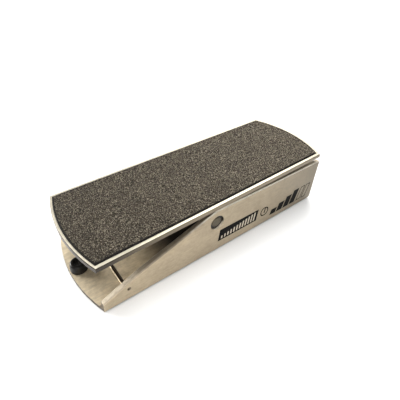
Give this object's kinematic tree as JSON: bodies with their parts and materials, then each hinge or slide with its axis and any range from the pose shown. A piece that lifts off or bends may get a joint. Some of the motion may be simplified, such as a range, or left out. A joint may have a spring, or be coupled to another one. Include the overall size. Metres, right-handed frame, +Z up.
{
  "type": "volume pedal",
  "caption": "Rocking foot volume pedal: grit-topped treadle on a channel housing, driving a rotary control by string, with jacks at the toe.",
  "frame": {"origin": "under the middle of the whole pedal's bounding box, on the surface that the rubber feet stand on", "axes": "+X to the player's right, +Y from heel to toe, +Z up; the jacks open towards +Y"},
  "size_m": [0.0888, 0.2501, 0.0571],
  "materials": {
    "satin_aluminium": "satin",
    "treadle_aluminium": "satin",
    "grit": "rough",
    "rubber": "matte",
    "nylon": "matte",
    "steel": "satin",
    "black_steel": "satin",
    "zinc_sheet": "satin",
    "nickel": "polished",
    "black_plastic": "satin",
    "brass": "satin",
    "board": "satin",
    "string": "braided",
    "lead_insulation": "satin"
  },
  "bodies": {
    "housing": {"housing": "satin_aluminium", "bottom_cover": "zinc_sheet", "gap_seal": "rubber", "cover_screws": "steel", "rubber_feet": "rubber", "foot_screws": "steel", "heel_bumper": "rubber", "heel_bumper_screw": "black_steel", "pivot_bush_left": "nylon", "pivot_bush_right": "nylon", "toe_panel": "satin_aluminium", "panel_screws": "steel", "bumper_bracket": "zinc_sheet", "bumper_bracket_screws": "steel", "toe_bumper": "rubber", "output_jack": "black_plastic", "tuner_jack": "black_plastic", "input_jack": "black_plastic", "jack_nuts": "nickel", "jack_washers": "nickel", "pot_bracket": "zinc_sheet", "pot_bracket_screws": "steel", "pot_body": "zinc_sheet", "pot_washer": "nickel", "pot_nut": "nickel", "board_standoffs": "steel", "circuit_board": "board", "board_screws": "steel", "taper_switch_body": "black_plastic", "wiring": "lead_insulation"},
    "treadle": {"treadle_plate": "treadle_aluminium", "grip_pad": "grit", "pivot_bracket_left": "zinc_sheet", "pivot_bracket_right": "zinc_sheet", "bracket_screws": "steel", "pivot_axle": "steel", "axle_set_screws": "steel", "thrust_washers": "nylon", "string_bow": "zinc_sheet", "bow_screws": "steel", "spring_post": "steel", "string_spring": "steel", "drive_string": "string"},
    "control_shaft": {"pot_shaft": "zinc_sheet", "string_drum": "brass", "drum_set_screw": "steel"},
    "taper_slider": {"taper_switch_slider": "black_plastic"}
  },
  "joints": [
    {"name": "treadle_hinge", "type": "hinge", "parent": "housing", "child": "treadle", "pos_m": [0, -0.0148, 0.034], "axis": [1, 0, 0], "range_deg": [-1.8, 16.4], "deforming": ["drive_string"]},
    {"name": "control_spin", "type": "hinge", "parent": "housing", "child": "control_shaft", "pos_m": [0.0262, 0.04, 0.0365], "axis": [1, 0, 0], "range_deg": [-240, 26]},
    {"name": "taper_switch_slide", "type": "slide", "parent": "housing", "child": "taper_slider", "axis": [0, 1, 0], "range_m": [0, 0.0025]}
  ],
  "couplings": [
    {"joint": "control_spin", "follows": "treadle_hinge", "ratio": -12.3}
  ]
}
